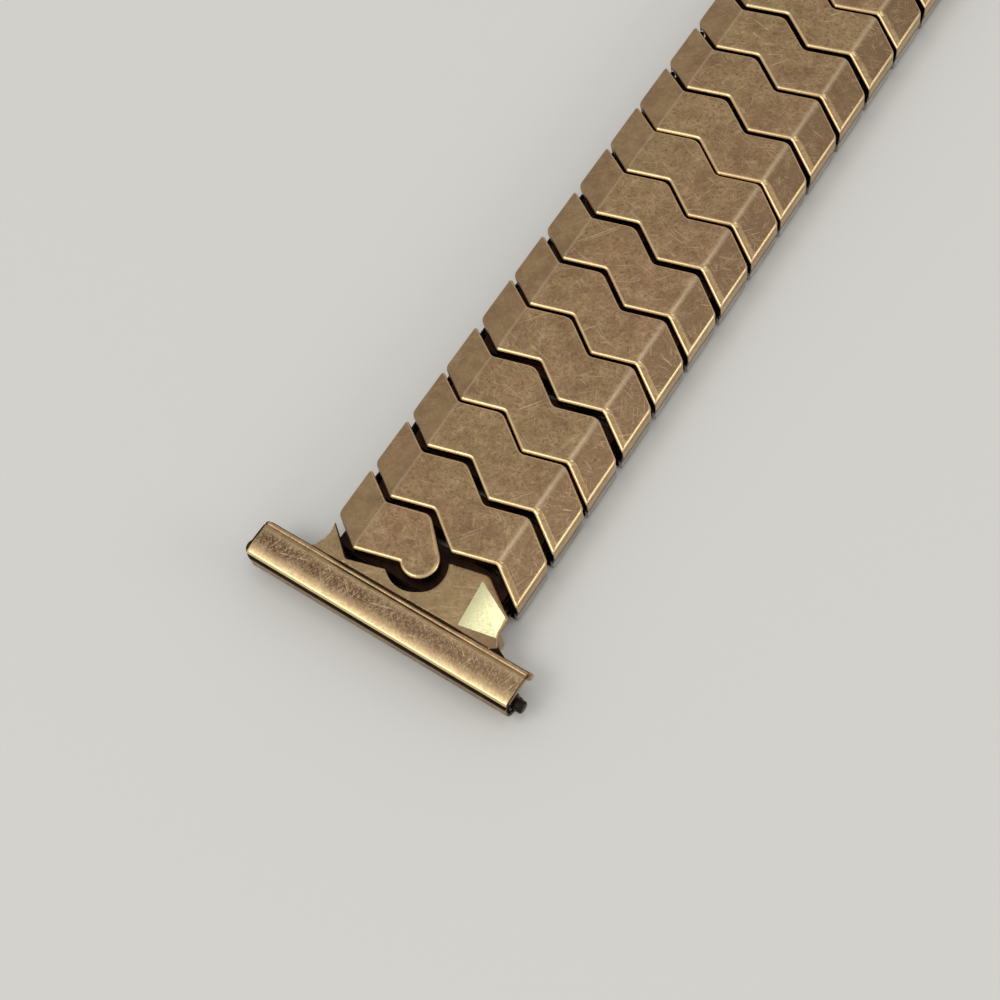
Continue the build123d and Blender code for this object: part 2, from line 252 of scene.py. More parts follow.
def rings_mesh(rings, slots, cap_slots):
    """A skin over rings of points, with a face at each end; a slot of None leaves the end open."""
    bm = bmesh.new()
    rows = [[bm.verts.new(p) for p in ring] for ring in rings]
    for level, (low, high) in enumerate(zip(rows, rows[1:])):
        slot = slots[min(level, len(slots) - 1)]
        for i in range(len(low)):
            j = (i + 1) % len(low)
            bm.faces.new((low[i], low[j], high[j], high[i])).material_index = slot
    for row, slot in ((rows[0][::-1], cap_slots[0]), (rows[-1], cap_slots[1])):
        if slot is not None:
            bm.faces.new(row).material_index = slot
    return bm


# The wall's slot defaults to the near-black painted shade of the gaps
def slab(corners, bottom, height, rim=shell_rim, slots=(GAP_SHADE, POLISHED_RIM_HIGHLIGHT, WORN_GOLD_FACET_SHADE),
         cuts=(), steps=rim_steps, planes=()):
    """A plate over an outline. Its top follows height(x, y), and its upper rim is rounded. The
    slots are those of its wall, its rim and its top. Faces are split at the cuts and the planes."""
    levels = [(0.0, UNDER)]
    for n in range(steps + 1):
        a = math.radians(90 * n / steps)
        levels.append((rim[0] * (1 - math.cos(a)), -rim[1] * (1 - math.sin(a))))
    rings = [[(x, y, z) for x, y in outline_ring(corners, inset)] for inset, z in levels]
    bm = rings_mesh(rings, (slots[0],) + (slots[1],) * steps, (slots[0], slots[2]))
    for point, normal in [((x, 0, 0), (1, 0, 0)) for x in cuts] + list(planes):
        geom = bm.verts[:] + bm.edges[:] + bm.faces[:]
        bmesh.ops.bisect_plane(bm, geom=geom, dist=1e-5, plane_co=point, plane_no=normal)
    for vert in bm.verts:
        if vert.co.z < UNDER / 2:
            vert.co.z = bottom
        else:
            vert.co.z += height(vert.co.x, vert.co.y)
    return bm


def block(x, y, z, slot, round_by=0.06):
    """A rounded box, from its spans."""
    corners = rectangle(x, y, round_by)
    foot = [(inset, z[0] + rise) for inset, rise in quarter_round(round_by)]
    levels = foot + [(inset, z[0] + z[1] - level) for inset, level in foot[::-1]]
    rings = [[(px, py, level) for px, py in outline_ring(corners, inset, 3)]
             for inset, level in levels]
    return rings_mesh(rings, (slot,), (slot, slot))


def join_into(bm, other, shift=(0, 0, 0), turn=0.0, keep=False):
    """Copy another bmesh into bm, turned about Z and then moved."""
    place = Matrix.Translation(shift) @ Matrix.Rotation(math.radians(turn), 4, "Z")
    made = {}
    for vert in other.verts:
        made[vert] = bm.verts.new(place @ vert.co)
    for face in other.faces:
        copy = bm.faces.new([made[v] for v in face.verts])
        copy.material_index = face.material_index
    if not keep:
        other.free()


def zigzag(y_shift, corner_cut=0.0):
    """The six corners of a zigzag edge, from the left side of the band to the right."""
    cuts = (corner_cut, 0, 0, 0, 0, corner_cut)
    return [(x, y_shift + s - c) for x, s, c in zip(zigzag_xs, zigzag_swings, cuts)]


def with_cuts(points, cuts, weights):
    """Corners for outline_ring from points, cuts and weights."""
    return [(x, y, cut, weight) for (x, y), cut, weight in zip(points, cuts, weights)]


def ridge_places(sides=(-1, 1)):
    """Places across the band where a plate is cut, close together where a ridge is eased."""
    shares = (-1.0, -0.5, 0.0, 0.5, 1.0)
    return [side * (ridge_x + share * ridge_round) for side in sides for share in shares]


near_edge = zigzag(-shell_length / 2)
far_edge = zigzag(shell_length / 2, far_corner_cut)


def shell_corners():
    """Plan of a full shell: two zigzags with a broad rim along the near edge and a narrow one along
    the far edge, whose corners are softer."""
    near = with_cuts(near_edge, (0.3, 0.14, 0.22, 0.14, 0.14, 0.2),
                     ((0.4, 1), 1, 1, 1, (1, 1.9), (1.9, 0.5)))
    far = with_cuts(far_edge, (0.3, 0.2, 0.45, 0.3, 0.4, 0.28), (0.45,) * 6)
    return near + far[::-1]


def lobed_corners():
    """Plan of the link beside the end plate: the left half of a shell and a round lobe, which
    starts 3 degrees past the near edge's corner and runs out straight to the far edge's."""
    cx, cy, radius = lobe
    start, inner = near_edge[2], far_edge[2]
    first = math.degrees(math.atan2(start[1] - cy, start[0] - cx))
    last = math.degrees(math.atan2(inner[1] - cy, inner[0] - cx)
                        - math.acos(radius / math.dist(inner, (cx, cy))))
    curve = [(x, y, 0, 1) for x, y in arc((cx, cy), radius, first + 3, last, 34)]
    near = with_cuts(near_edge[:3], (0.3, 0.14, 0.06), ((0.4, 1), 1, 1))
    far = with_cuts(far_edge[:3], (0.3, 0.2, 0.45), (0.45, 0.45, 0.7))
    return near + curve + far[::-1]


def side_wall(bm, side):
    """Wall that hangs from a shell's end over the staples."""
    swing = -side * zigzag_swings[0]
    y = (swing - shell_length / 2 + side_wall_setback,
         swing + shell_length / 2 - far_corner_cut - side_wall_setback)
    corners = rectangle((half_width - shell_wall, half_width), y, side_wall_round)
    levels = [(inset, side_wall_bottom + rise) for inset, rise in quarter_round(side_wall_round)]
    levels.append((0, cap_bottom + side_wall_lap))
    rings = [[(side * px, py, z) for px, py in outline_ring(corners, inset, 3)]
             for inset, z in levels]
    join_into(bm, rings_mesh(rings, (SIDE_GOLD,), (SIDE_GOLD, SIDE_GOLD)))


def shell_mesh(corners, sides):
    """Rounded top of a shell with its side walls."""
    bm = slab(corners, cap_bottom, lambda x, y: surface_z(x), cuts=ridge_places())
    bm.normal_update()
    # Lit and shaded copies of the rim gold, chosen by where each face points: painted highlight on
    # the far rim, painted shade where the rim faces up or lies at the left
    for face in bm.faces:
        if face.material_index != POLISHED_RIM_HIGHLIGHT:
            continue
        if face.normal.y > facing_far:
            face.material_index = FAR_RIM_HIGHLIGHT
        elif face.normal.z > facing_up:
            face.material_index = OLIVE_GOLD
        elif face.normal.x < facing_left or face.calc_center_median().x < -ridge_x:
            face.material_index = SHADED_RIM
    for side in sides:
        side_wall(bm, side)
    return bm


def saddle_mesh():
    """Folded tabs between a shell and its sleeve."""
    x = sleeve_half_width - saddle_setback
    y = upper_sleeve[2] / 2 - saddle_setback
    z = (upper_sleeve[1] + saddle_lap, cap_bottom + saddle_lap)
    return block((-x, x), (-y, y), z, SHADED_SLEEVE_STEEL, 0.04)


def tube_mesh(sleeve, slot):
    """A flat sleeve along X with rounded corners, open at both ends."""
    bottom, top, length = sleeve

    def ring(inset, corner):
        y, low, high = length / 2 - inset, bottom + inset, top - inset
        return rounded([(-y, low), (y, low), (y, high), (-y, high)], corner)

    outer, inner = ring(0, sleeve_corner), ring(sleeve_wall, sleeve_inner_corner)
    order = [(outer, -1), (outer, 1), (inner, 1), (inner, -1), (outer, -1)]
    rings = [[(side * sleeve_half_width, y, z) for y, z in loop] for loop, side in order]
    return rings_mesh(rings, (slot,), (None, None))


def strip_mesh(path, section, slot):
    """A flat strip, of a width and a thickness, along a path that is bent in the XZ plane."""
    w, t = section[0] / 2, section[1] / 2
    profile = rounded([(-w, -t), (w, -t), (w, t), (-w, t)], t / 2, 2)
    rings = []
    for i, (x, y, z) in enumerate(path):
        before, after = path[max(i - 1, 0)], path[min(i + 1, len(path) - 1)]
        along = Vector((after[0] - before[0], after[2] - before[2])).normalized()
        rings.append([(x - along.y * dn, y + dy, z + along.x * dn) for dy, dn in profile])
    return rings_mesh(rings, (slot,), (slot, slot))


def leaf_mesh(sleeve):
    """Bowed leaf spring of a sleeve."""
    reach = sleeve_half_width - leaf_inset
    path = []
    for n in range(leaf_steps + 1):
        x = -reach + 2 * reach * n / leaf_steps
        path.append((x, 0.0, sleeve[0] + leaf_height + leaf_bow * (1 - (x / reach) ** 2)))
    return strip_mesh(path, leaf_section, SHADED_SLEEVE_STEEL)


def staple_mesh(side, low_y, high_y):
    """U staple with rounded bends: a leg in a lower sleeve and one in an upper sleeve."""
    low_z, high_z = staple_heights
    first, last = low_z + staple_bend, high_z - staple_bend
    tip = sleeve_half_width - staple_leg_reach
    centre = sleeve_half_width + staple_overhang - staple_bend
    path = [(tip, low_z)] + arc((centre, first), staple_bend, -90, 0, 5)
    path += arc((centre, last), staple_bend, 0, 90, 5) + [(tip, high_z)]
    points = []
    for x, z in path:
        share = min(max((z - first) / (last - first), 0), 1)
        points.append((side * x, low_y + (high_y - low_y) * share, z))
    return strip_mesh(points, staple_section, FLANGE_STEEL)


def flange_mesh(side, length):
    """Floor strip and upturned flange at one end of a lower sleeve, below a shell's swung end. The
    left one lies further along the band, where it keeps clear of the next sleeve."""
    left = side < 0
    root = sleeve_half_width - flange_lap
    inner_bend = flange_bend - sleeve_wall
    profile = [(root, 0.0)]
    profile += arc((flange_outer - flange_bend, flange_bend), flange_bend, -90, 0, 4)
    profile += [(flange_outer, flange_top - flange_edge), (flange_outer - flange_edge, flange_top),
                (flange_inner + flange_edge, flange_top), (flange_inner, flange_top - flange_edge)]
    profile += arc((flange_inner - inner_bend, sleeve_wall + inner_bend), inner_bend, 0, -90, 4)
    profile += [(root, sleeve_wall)]
    corner = quarter_round(left_flange_corner if left else right_flange_corner, 5)
    near = [(-length / 2 + inset, flange_top - drop) for inset, drop in corner]
    shift = left_flange_shift if left else 0.0
    rings = []
    for y, limit in near[::-1] + [(-y, z) for y, z in near]:
        least_x = sleeve_half_width + left_flange_clearance if left and y > 0 else 0.0
        rings.append([(side * max(x, least_x), y + shift, min(z, limit)) for x, z in profile])
    end_slot = SHADED_SLEEVE_STEEL if left else FLANGE_STEEL
    bm = rings_mesh(rings, (FLANGE_STEEL,), (end_slot, end_slot))
    # Faces inside the flange's outer skin take the sleeves' near-black painted shade
    for face in bm.faces:
        inside = side * face.calc_center_median().x < flange_outer - flange_skin
        if len(face.verts) == 4 and inside:
            face.material_index = SHADED_SLEEVE_STEEL
    return bm


def plate_corners():
    """Plan of the end plate's visible face, from the right foot round to the left one."""
    first = zigzag(-shell_length / 2 - plate_gap)
    second = zigzag(shell_length / 2 + first_gap - plate_gap)
    # Right shoulder with its hollow, and the two corners of the zigzag
    corners = [(7.6, seam_y, 0, 0.3), (7.4, -2.47, 0, 0.25)]
    corners += [(x, y, 0, 0.25) for x, y in arc(*shoulder_hollow, -106, -176, 8)]
    corners += [(6.35, -1.15, 0.05, 0.25), (*second[5], 0.15, 0.4), (*second[4], 0.35, 1.3)]
    # Pocket of the lobe, whose rim narrows at its near side
    cx, cy, radius = pocket
    for x, y in arc((cx, cy), radius, 33.7, -139.3, 30):
        low = max(0.0, (cy - y) / radius - 0.35)
        corners.append((x, y, 0, 0.8 - 0.75 * min(low * 2.2, 1)))
    # Left tip and shoulder
    left_tip = (first[0][0] + 0.15, first[0][1] + 0.12)
    corners += [(*first[1], 0.12, 0.3), (*left_tip, 0.06, 0.35)]
    corners += [(-6.06, -1.2, 0, 0.35), (-6.15, -1.75, 0, 0.4), (-6.42, -2.3, 0, 0.4)]
    # Seam, with the share of the rim at places along it
    seam = ((-6.75, 0.4), (-3.9, 0.08), (-1.5, 0.12), (-0.1, 0.1), (1.3, 0.2), (2.6, 0.25),
            (5.0, 0.3))
    corners += [(x, seam_y, 0, weight) for x, weight in seam]
    return corners


def beyond_facet_edge(x, y):
    """How far a place lies to the right of the facet's long edge."""
    lean = (facet_foot[0] - facet_head[0]) / (facet_foot[1] - facet_head[1])
    return x - facet_head[0] - lean * (y - facet_head[1])


def above_facet_foot(x, y):
    """How far a place lies above the line along the facet's foot."""
    return y - facet_foot[1] - facet_rise * (x - facet_foot[0])


def plate_z(x, y):
    """Face of the end plate: a flat facet at its right, and a band that falls to the sleeve."""
    if x < 0:
        return surface_z(x)
    z = total_height - facet_slope * max(0.0, beyond_facet_edge(x, y))
    if x > facet_foot[0]:
        z -= foot_slope * max(0.0, -above_facet_foot(x, y))
    return z


def plate_mesh():
    """End plate: faceted face round the lobe, side walls, web and bar channel."""
    foot = (*facet_foot, 0)
    lines = [(foot, (-facet_rise, 1, 0)),
             (foot, (facet_head[1] - facet_foot[1], facet_foot[0] - facet_head[0], 0))]
    bm = slab(plate_corners(), cap_bottom, plate_z, rim=plate_rim, steps=plate_rim_steps,
              slots=(GAP_SHADE, OLIVE_GOLD, OLIVE_GOLD), cuts=ridge_places((-1,)), planes=lines)
    bm.normal_update()
    # Painted light on the plate: near-black painted shade on the steep wall at the seam, a pale
    # painted highlight on the facet's large faces, and painted shade on the band below its foot
    for face in bm.faces:
        if face.material_index != OLIVE_GOLD:
            continue
        x, y, _ = face.calc_center_median()
        steep = face.normal.z < 0.5
        if steep:
            if y < seam_y + 0.1:
                face.material_index = GAP_SHADE
        elif beyond_facet_edge(x, y) >= 0:
            above = above_facet_foot(x, y)
            if above > 0 and face.calc_area() > facet_least_area:
                face.material_index = FACET_HIGHLIGHT
            elif above < 0:
                face.material_index = SHADED_RIM
    # Side walls, and the web between them, which takes the near-black painted shade of the gaps
    inner = half_width - plate_wall
    for x, wall_end in (((-half_width, -inner), -1.9), ((inner, half_width), -1.3)):
        join_into(bm, block(x, (plate_back, wall_end), plate_wall_z, SIDE_GOLD))
    join_into(bm, block((-inner, inner), (plate_back, web_end), web_z, GAP_SHADE))
    # Floor of the bar channel, with its small lip at the right
    channel = [(-9.25, -4.7, 0.08, 1), (9.2, -4.7, 0.08, 1), (9.2, -2.95, 0.05, 1),
               (9.45, -2.85, 0.1, 1), (9.45, -2.46, 0.15, 1), (8.6, -2.5, 0.1, 1),
               (7.4, -2.56, 0.1, 1), (-6.4, -2.56, 0.1, 1), (-9.25, -2.6, 0.1, 1)]
    join_into(bm, slab(channel, channel_bottom, lambda x, y: channel_top, rim=channel_rim,
                       slots=(SHADED_RIM,) * 3))
    return bm


# Section of the lug sleeve in (y, z). Its outside is a strip along the seam, a groove, the crown,
# the front lip, a second groove, the front wall and the part that is rolled round the bar.
cover_outside = [
    (-2.57, 2.46), (-2.63, 2.53), (-2.73, 2.54), (-2.82, 2.54), (-2.85, 2.505), (-2.90, 2.51),
    (-2.96, 2.585), (-3.02, 2.618), (-3.12, 2.624), (-3.35, 2.635), (-3.6, 2.65), (-3.9, 2.66),
    (-4.15, 2.658), (-4.35, 2.65), (-4.5, 2.635), (-4.62, 2.615), (-4.73, 2.588), (-4.82, 2.558),
    (-4.89, 2.527), (-4.94, 2.495), (-4.98, 2.45), (-5.0, 2.4), (-5.0, 2.34), (-4.88, 2.28),
    (-4.88, 2.22), (-5.07, 2.20), (-5.12, 2.17), (-5.15, 2.1), (-5.15, 1.7), (-5.15, 1.25),
    *arc((-4.25, 1.25), 0.9, 180, 262, 10)[1:], (-4.2, 0.35), (-3.62, 0.35),
]
cover_inside = [
    (-3.62, 0.53), (-4.2, 0.53), *arc((-4.25, 1.25), 0.72, -98, -180, 8), (-4.97, 1.9),
    (-4.85, 2.1), (-4.7, 2.22), (-4.4, 2.3), (-3.2, 2.3), (-2.95, 2.36), (-2.57, 2.38),
]


def cover_slot(x, y, z):
    """Finish of the lug sleeve at a place: near-black painted shade at its left end, in the groove
    under its front lip, inside it and at the seam, a painted highlight on its front lip, and
    painted shade on its front wall.
    """
    at_left_end = x < sleeve_x[0] + 0.12
    in_groove = y < -4.8 and 2.1 < z < 2.35
    if at_left_end or in_groove:
        return GAP_SHADE
    on_crown = -4.78 < y < -3.08 and z > 2.5
    if on_crown:
        return MOTTLED_GOLD
    at_front = y < -4.6
    if at_front:
        return FRONT_EDGE_HIGHLIGHT if z > 2.3 else SHADED_FRONT_WALL
    inside, in_seam = z < 2.35, y > -2.62
    return GAP_SHADE if inside or in_seam else OLIVE_GOLD


def cover_mesh():
    """Lug sleeve: a folded cover open at its right end and closed and rounded at its left one."""
    x0, x1 = sleeve_x
    edge = 0.06
    rings = []
    for x, shrink in ((x0 + end_round, 0.0), (x1 - edge, 0.0), (x1, 0.04)):
        ring = []
        for points, inward in ((cover_outside, shrink), (cover_inside, -shrink)):
            for y, z in points:
                ring.append((x, y, z - inward) if z > 2.1 else (x, y + inward, z))
        rings.append(ring)
    bm = rings_mesh(rings, (OLIVE_GOLD,), (OLIVE_GOLD, OLIVE_GOLD))
    # Rounded left end, whose top sinks a little before the end is reached
    ends = []
    for pull, gone in quarter_round(end_round, 8):
        sink = 0.12 * max(0.0, 1 - (1 - pull / end_round) * 1.15)
        front, back = sleeve_front + pull, sleeve_back - pull * 0.5
        ends.append([(x0 + gone, min(max(y, front), back), z - (sink if z > 2.2 else 0))
                     for y, z in cover_outside])
    join_into(bm, rings_mesh(ends, (OLIVE_GOLD,), (SHADED_FRONT_WALL, OLIVE_GOLD)))
    for face in bm.faces:
        if face.material_index == OLIVE_GOLD:
            face.material_index = cover_slot(*face.calc_center_median())
    return bm


def lathe(profile):
    """A turned piece on the spring bar's axis; the profile gives places along X and radii."""
    y, z = bar_axis
    turns = [2 * math.pi * n / bar_steps for n in range(bar_steps)]
    rings = [[(bar_shift + x, y + r * math.cos(a), z + r * math.sin(a)) for a in turns]
             for x, r in profile]
    return rings_mesh(rings, (SHADED_BAR_STEEL,), (SHADED_BAR_STEEL, SHADED_BAR_STEEL))


def barrel_mesh():
    """Spring bar barrel, turned in at both ends."""
    half = [(7.83, 0.43), (7.85, 0.47), (7.85, 0.53), (7.75, 0.6)]
    return lathe([(-x, r) for x, r in half] + half[::-1])


def tip_mesh(side):
    """Sprung tip with its collar and rounded nose."""
    profile = [(7.02, 0.40), (7.06, 0.44), (7.58, 0.44), (7.62, 0.39), (8.84, 0.39), (8.85, 0.5),
               (8.93, 0.575), (9.0, 0.58), (9.3, 0.58), (9.4, 0.56), (9.45, 0.48), (9.45, 0.4),
               (10.0, 0.4), (10.06, 0.37), (10.1, 0.3)]
    return lathe([(side * x, r) for x, r in profile])


class Nodes:
    """Small helper that writes a metal's node tree."""

    def __init__(self, name):
        self.material = bpy.data.materials.new(name)
        self.material.use_nodes = True
        self.tree = self.material.node_tree
        self.shader = self.tree.nodes["Principled BSDF"]
        self.place = self.add("ShaderNodeTexCoord").outputs["Object"]

    def add(self, kind, **values):
        """A new node with its settings."""
        node = self.tree.nodes.new(kind)
        for key, value in values.items():
            setattr(node, key, value)
        return node

    def feed(self, socket, value):
        """Set an input to a number or a colour, or link an output to it."""
        if isinstance(value, (int, float)):
            socket.default_value = value
        elif isinstance(value, tuple):
            socket.default_value = (*value, 1)
        else:
            self.tree.links.new(value, socket)

    def math(self, operation, *values):
        """Arithmetic on one or two values."""
        node = self.add("ShaderNodeMath", operation=operation)
        for socket, value in zip(node.inputs, values):
            self.feed(socket, value)
        return node.outputs[0]

    def times(self, a, b):
        """Product of two values."""
        return self.math("MULTIPLY", a, b)

    def plus(self, a, b):
        """Sum of two values."""
        return self.math("ADD", a, b)

    def away(self, value, place):
        """How far a value is from a place."""
        return self.math("ABSOLUTE", self.math("SUBTRACT", value, place))

    def mapped(self, scale, turn=0.0, vector=None):
        """Place on the object, scaled and then turned about Z by degrees."""
        node = self.add("ShaderNodeMapping")
        node.inputs["Rotation"].default_value = (0, 0, math.radians(turn))
        node.inputs["Scale"].default_value = scale
        self.feed(node.inputs["Vector"], vector or self.place)
        return node.outputs[0]

    def axis(self, letter):
        """Place along one axis, in millimetres."""
        node = self.add("ShaderNodeSeparateXYZ")
        self.feed(node.inputs[0], self.place)
        return self.times(node.outputs[letter], 1 / MM)

    def noise(self, per_mm, detail=3.0, rough=0.55, vector=None, distortion=0.0):
        """Cloudy noise from 0 to 1, with its scale in waves per millimetre."""
        node = self.add("ShaderNodeTexNoise")
        node.inputs["Scale"].default_value = per_mm / MM
        node.inputs["Detail"].default_value = detail
        node.inputs["Roughness"].default_value = rough
        node.inputs["Distortion"].default_value = distortion
        self.feed(node.inputs["Vector"], vector or self.place)
        return node.outputs["Fac"]

    def span(self, value, low, high, to_low=0.0, to_high=1.0):
        """A value that runs from to_low at low to to_high at high, and stays between them."""
        node = self.add("ShaderNodeMapRange")
        node.inputs["From Min"].default_value = low
        node.inputs["From Max"].default_value = high
        node.inputs["To Min"].default_value = to_low
        node.inputs["To Max"].default_value = to_high
        self.feed(node.inputs["Value"], value)
        return node.outputs[0]

    def mix(self, share, a, b):
        """Colour a with a share of colour b over it."""
        node = self.add("ShaderNodeMix", data_type="RGBA")
        for index, value in ((0, share), (6, a), (7, b)):
            self.feed(node.inputs[index], value)
        return node.outputs[2]

    def tint(self, colour, mask, strength, tone):
        """A colour with a tone over it where the mask is high."""
        return self.mix(self.times(mask, strength), colour, tone)

    def metal(self, colour, roughness, height, strength, distance):
        """Finish the material: bare metal with its colour, its gloss and its fine relief."""
        self.feed(self.shader.inputs["Base Color"], colour)
        self.shader.inputs["Metallic"].default_value = 1.0
        self.feed(self.shader.inputs["Roughness"], roughness)
        bump = self.add("ShaderNodeBump")
        bump.inputs["Strength"].default_value = strength
        bump.inputs["Distance"].default_value = distance * MM
        self.feed(bump.inputs["Height"], height)
        self.feed(self.shader.inputs["Normal"], bump.outputs[0])
        return self.material


# Colours of the pale marks, of the painted highlights along the ridges and on the layers in the
# gaps, of the painted orange glint in the gaps, and of the painted shade on the shells' side facets
LIGHT = (0.90, 0.70, 0.44)
RIDGE_HIGHLIGHT = (0.90, 0.70, 0.48)
TAN_LAYER_HIGHLIGHT = (0.50, 0.32, 0.17)
PALE_LAYER_HIGHLIGHT = (0.5, 0.42, 0.34)
ORANGE_GLINT = (0.80, 0.22, 0.05)
LEFT_FACET_SHADE = (0.41, 0.275, 0.15)
RIGHT_FACET_SHADE = (0.27, 0.175, 0.10)


def scratches(n, angles, fineness, threshold, stretch=0.03, gates=1.1):
    """Fine straight marks in several directions, broken up into strokes."""
    total = None
    for index, angle in enumerate(angles):
        turned = n.mapped((1, 1, 1), angle)
        drawn = n.mapped((1.0, stretch, 0.3), vector=turned)
        lines = n.noise(fineness, 1.0, 0.5, drawn, 0.12)
        gate = n.noise(gates + 0.17 * index, 1.0, 0.5)
        level = n.times(n.span(lines, threshold, threshold + 0.07), n.span(gate, 0.5, 0.62))
        total = level if total is None else n.math("MAXIMUM", total, level)
    return total


def gold(name, base, rosy, light=LIGHT, rough=0.34, wear=1.0, patina=1.0, relief=1.0, facets=False):
    """Worn gold fill: uneven tone, grain, short scratches and a soft gloss. The facets are the two
    sides of a shell, which take painted shade that makes them darker than its middle, with a
    painted highlight line along each ridge."""
    n = Nodes(name)
    brown = tuple(c * 0.6 for c in rosy)
    dark = tuple(c * 0.5 for c in rosy)
    cloud = n.span(n.noise(0.16, 3.0, 0.6), 0.38, 0.62)
    patch = n.span(n.noise(0.7, 5.0, 0.7), 0.44, 0.68)
    grain = n.noise(11.0, 4.0, 0.75)
    speck = n.span(n.noise(5.0, 5.0, 0.85), 0.5, 0.62)
    stain = n.span(n.noise(0.38, 4.0, 0.7), 0.48, 0.66)
    pale = n.times(n.span(n.noise(1.6, 5.0, 0.75), 0.5, 0.68),
                   n.span(n.noise(9.0, 3.0, 0.8), 0.42, 0.6))
    marks = n.times(scratches(n, (18, 52, 76, 118, 152), 17.0, 0.60), 0.55)
    marks = n.math("MAXIMUM", marks, scratches(n, (38, 64, 104), 11.0, 0.665, 0.012, 0.45))
    colour = n.tint(n.mix(cloud, base, rosy), pale, 0.55 * patina, light)
    # Painted shade: the two side facets are tinted darker than the middle of the shell
    if facets:
        x = n.axis("X")
        left = n.span(x, -4.1, -3.95, 1.0, 0.0)
        right = n.span(x, 3.95, 4.1)
        colour = n.tint(n.tint(colour, left, 0.75, LEFT_FACET_SHADE), right, 0.8, RIGHT_FACET_SHADE)
        quiet = n.span(left, 0.0, 1.0, 1.0, 0.45)
        marks, speck = n.times(marks, quiet), n.times(speck, quiet)
    for mask, strength, tone in ((stain, 0.5 * patina, brown), (patch, 0.75 * patina, brown),
                                 (speck, 0.95 * patina, dark), (marks, 0.5 * wear, light)):
        colour = n.tint(colour, mask, strength, tone)
    # Painted highlight: a pale line along each ridge, stronger at the right one
    if facets:
        for place, width, strength in ((-4.03, 0.16, 0.3), (4.06, 0.3, 0.55)):
            near = n.span(n.away(x, place), 0.0, width, 1.0, 0.0)
            colour = n.tint(colour, n.math("POWER", near, 1.5), strength, RIDGE_HIGHLIGHT)
    roughness = n.plus(n.span(grain, 0.3, 0.7, rough - 0.05, rough + 0.09), n.times(speck, 0.1))
    height = n.plus(n.times(grain, 0.7), n.times(marks, -0.4 * wear))
    height = n.plus(height, n.times(n.noise(0.9, 2.0), 2.0))
    return n.metal(colour, roughness, height, 0.4 * relief, 0.02)


def mottled(name):
    """Worn crown of the lug sleeve: dark specks over rosy gold, whose dirt thins towards its front,
    which a painted highlight lightens.
    """
    n = Nodes(name)
    y = n.axis("Y")
    back = n.math("SUBTRACT", n.math("ABSOLUTE", y), lobed_link_place)
    side = n.times(n.axis("X"), n.math("SIGN", y))
    wander = n.times(n.math("SUBTRACT", n.noise(0.7, 3.0, 0.6), 0.5), 0.7)
    along = n.plus(back, wander)
    dabs = n.noise(6.5, 4.0, 0.75, n.mapped((1.0, 0.6, 1.0), 32), 0.4)
    fine = n.noise(15.0, 3.0, 0.75)
    mix = n.plus(n.times(dabs, 0.55), n.times(fine, 0.45))
    # The dirt lies in a belt behind the crown's lighter front, and thickens towards the closed end
    belt = n.times(n.span(along, 3.2, 3.5), n.span(along, 4.0, 4.35, 1.0, 0.0))
    dirt = n.times(belt, n.span(side, -9.5, 9.0, 0.15, 1.15))
    colour = n.mix(n.span(back, 3.1, 3.5), (0.56, 0.40, 0.22), (0.36, 0.23, 0.13))
    # Painted highlight: the crown grows lighter towards its rounded front lip
    colour = n.tint(colour, n.span(along, 4.05, 4.7), 0.9, (0.78, 0.57, 0.32))
    colour = n.tint(colour, n.span(mix, 0.5, 0.64), 0.7, (0.84, 0.63, 0.38))
    darkening = n.plus(n.times(dirt, 0.75), 0.15)
    colour = n.tint(colour, n.span(mix, 0.53, 0.44), darkening, (0.10, 0.05, 0.03))
    colour = n.tint(colour, scratches(n, (20, 75, 130), 12.0, 0.645), 0.5, (0.95, 0.80, 0.52))
    roughness = n.span(mix, 0.4, 0.64, 0.46, 0.28)
    return n.metal(colour, roughness, n.plus(mix, n.times(fine, 0.3)), 0.45, 0.03)


def painted_gap_shade(name, low, high, layers):
    """Near-black painted shade for the gaps and hollows, with thin paler lines as painted
    highlights where its layers meet, which take a painted orange glint in places. A layer is its
    height, half its width, its share and its colour."""
    n = Nodes(name)
    z = n.axis("Z")
    upright = n.mapped((1.0, 1.0, 0.2))
    broken = n.span(n.noise(0.8, 3.0, 0.6, upright), 0.36, 0.55)
    glint = n.span(n.noise(0.35, 2.0, 0.5, upright), 0.5, 0.6)
    colour = n.mix(n.span(n.noise(1.2, 3.0), 0.35, 0.65), low, high)
    # Painted highlights: thin paler lines at the layers' heights, which take a painted orange glint
    # where the glint mask is high
    for place, half, share, tone in layers:
        line = n.times(n.span(n.away(z, place), half * 0.5, half, 1.0, 0.0), broken)
        colour = n.tint(colour, line, share, n.mix(glint, tone, ORANGE_GLINT))
    return n.metal(colour, n.span(broken, 0.0, 1.0, 0.45, 0.34), n.noise(3.0, 3.0), 0.3, 0.02)


def steel(name, base, stain, rough, stain_share, shade_from=3.0):
    """Stainless spring steel with drawing lines and brown stains, with near-black painted shade
    above a height.
    """
    n = Nodes(name)
    stains = n.span(n.noise(0.6, 4.0, 0.65), 0.42, 0.66, 0.0, stain_share)
    drawn = n.noise(6.0, 2.0, 0.6, n.mapped((0.05, 1.0, 1.0)))
    # Painted shade: near black above a height
    dark = n.span(n.axis("Z"), shade_from - 0.2, shade_from)
    colour = n.mix(dark, n.mix(stains, base, stain), (0.035, 0.02, 0.015))
    roughness = n.span(drawn, 0.3, 0.7, rough - 0.08, rough + 0.12)
    return n.metal(colour, roughness, drawn, 0.3, 0.01)


